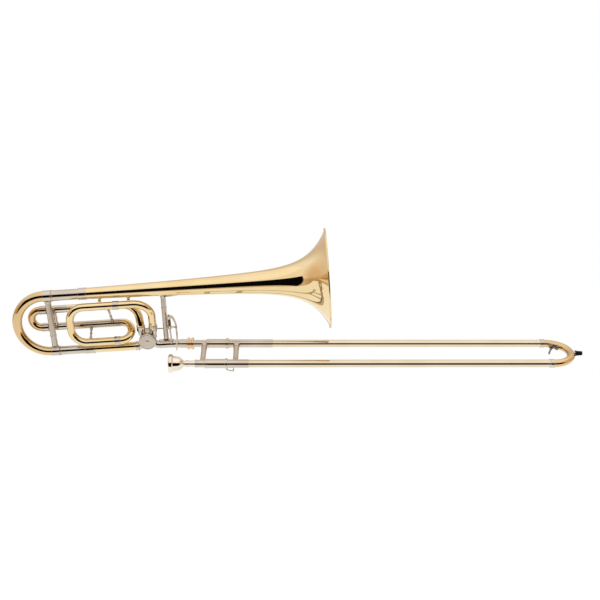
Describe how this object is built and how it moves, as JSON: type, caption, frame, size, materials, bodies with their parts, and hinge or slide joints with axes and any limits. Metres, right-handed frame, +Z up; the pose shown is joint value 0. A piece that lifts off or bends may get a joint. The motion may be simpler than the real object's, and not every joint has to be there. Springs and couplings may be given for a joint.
{
  "type": "trombone",
  "caption": "Tenor trombone with an F attachment: flared bell, tuning slides, rotary valve with thumb lever, and a hand slide with mouthpiece.",
  "frame": {"origin": "on the neck-side axis of the hand slide, at the middle of the lock nut, beside the left hand's grip", "axes": "+X along the hand slide to its crook, +Z up, +Y away from someone who sees the bell above the slide with its rim to the right"},
  "size_m": [1.1503, 0.2007, 0.2883],
  "materials": {
    "brass": "clear lacquer over polished brass",
    "amber_brass": "clear lacquer over polished gold brass",
    "nickel_silver": "polished nickel silver under clear lacquer",
    "bronze": "polished bronze",
    "silver_plate": "polished silver plate",
    "steel": "drawn steel wire",
    "rubber": "moulded black rubber"
  },
  "bodies": {
    "bell_section": {"bell": "brass", "bell_ferrule": "nickel_silver", "upper_outer_leg": "nickel_silver", "lower_outer_leg": "nickel_silver", "lower_leg_ferrule": "nickel_silver", "gooseneck_tube": "brass", "valve_inlet_ferrule": "nickel_silver", "valve_casing": "nickel_silver", "valve_cap": "nickel_silver", "valve_back_plate": "brass", "cork_plate": "nickel_silver", "right_port_ferrule": "nickel_silver", "left_port_ferrule": "nickel_silver", "f_outlet_bend": "brass", "f_front_crook": "brass", "f_return_crook": "brass", "f_inlet_bend": "brass", "upper_run_ferrule": "nickel_silver", "lower_run_ferrule": "nickel_silver", "f_outer_leg_upper": "nickel_silver", "f_outer_leg_lower": "nickel_silver", "f_leg_brace": "nickel_silver", "wrap_brace_upper": "nickel_silver", "wrap_brace_lower": "nickel_silver", "bell_wrap_brace_1": "brass", "bell_wrap_brace_2": "brass", "neckpipe": "nickel_silver", "grip_brace": "nickel_silver", "lever_post": "nickel_silver", "lever_spring": "steel"},
    "main_tuning_slide": {"tuning_crook": "amber_brass", "tuning_upper_leg": "nickel_silver", "tuning_lower_leg": "nickel_silver", "tuning_brace": "nickel_silver"},
    "f_tuning_slide": {"f_crook": "amber_brass", "f_slide_upper_leg": "nickel_silver", "f_slide_lower_leg": "nickel_silver"},
    "thumb_lever": {"thumb_lever": "nickel_silver"},
    "link_rod": {"link_rod": "steel"},
    "rotor": {"rotor": "brass", "stop_arm": "nickel_silver"},
    "lock_nut": {"lock_nut": "bronze"},
    "inner_slide": {"upper_cork_barrel": "nickel_silver", "lower_cork_barrel": "nickel_silver", "mouthpiece_receiver": "nickel_silver", "upper_inner_tube": "nickel_silver", "lower_inner_tube": "nickel_silver", "inner_slide_brace": "nickel_silver"},
    "slide_lock": {"slide_lock_ring": "nickel_silver"},
    "outer_slide": {"upper_outer_tube": "brass", "lower_outer_tube": "brass", "outer_slide_brace": "nickel_silver", "upper_crook_ferrule": "nickel_silver", "lower_crook_ferrule": "nickel_silver", "slide_crook": "amber_brass", "bumper_holder": "nickel_silver", "bumper": "rubber", "water_key_saddle": "nickel_silver"},
    "water_key": {"water_key": "nickel_silver"},
    "mouthpiece": {"mouthpiece": "silver_plate"}
  },
  "joints": [
    {"name": "main_tuning_pull", "type": "slide", "parent": "bell_section", "child": "main_tuning_slide", "axis": [-0.9975, 0.0309, -0.0633], "range_m": [0, 0.05]},
    {"name": "f_tuning_pull", "type": "slide", "parent": "bell_section", "child": "f_tuning_slide", "axis": [-0.9975, 0.0309, -0.0633], "range_m": [0, 0.07]},
    {"name": "thumb_lever_press", "type": "hinge", "parent": "bell_section", "child": "thumb_lever", "pos_m": [-0.04142, -0.02729, 0.04226], "axis": [0.0705, 0.4373, -0.8966], "range_deg": [0, 27.27], "stiffness_Nm_per_rad": 0.15, "springref_deg": -34.38},
    {"name": "rotor_turn", "type": "hinge", "parent": "bell_section", "child": "rotor", "pos_m": [-0.08591, -0.00558, 0.01143], "axis": [0, 0.8988, 0.4384], "range_deg": [0, 90]},
    {"name": "link_pivot", "type": "hinge", "parent": "thumb_lever", "child": "link_rod", "pos_m": [-0.04669, 0.01024, 0.03182], "axis": [0.0705, 0.4373, -0.8966], "range_deg": [-27.27, 0]},
    {"name": "lock_nut_spin", "type": "hinge", "parent": "bell_section", "child": "lock_nut", "pos_m": [0, 0, 0], "axis": [1, 0, 0], "continuous": true},
    {"name": "slide_swivel", "type": "hinge", "parent": "bell_section", "child": "inner_slide", "pos_m": [0, 0, 0], "axis": [1, 0, 0], "range_deg": [-25, 25]},
    {"name": "slide_lock_turn", "type": "hinge", "parent": "inner_slide", "child": "slide_lock", "pos_m": [0.0756, -0.07927, -0.03935], "axis": [1, 0, 0], "range_deg": [0, 60]},
    {"name": "hand_slide_out", "type": "slide", "parent": "inner_slide", "child": "outer_slide", "axis": [1, 0, 0], "range_m": [0, 0.61]},
    {"name": "water_key_press", "type": "hinge", "parent": "outer_slide", "child": "water_key", "pos_m": [0.73643, -0.01664, -0.00826], "axis": [0, 0.4446, -0.8957], "range_deg": [0, 15], "stiffness_Nm_per_rad": 0.05, "springref_deg": -34.38},
    {"name": "mouthpiece_pull", "type": "slide", "parent": "inner_slide", "child": "mouthpiece", "axis": [-1, 0, 0], "range_m": [0, 0.06]}
  ],
  "couplings": [
    {"joint": "rotor_turn", "follows": "thumb_lever_press", "ratio": 3.3003},
    {"joint": "link_pivot", "follows": "thumb_lever_press", "ratio": -1}
  ]
}
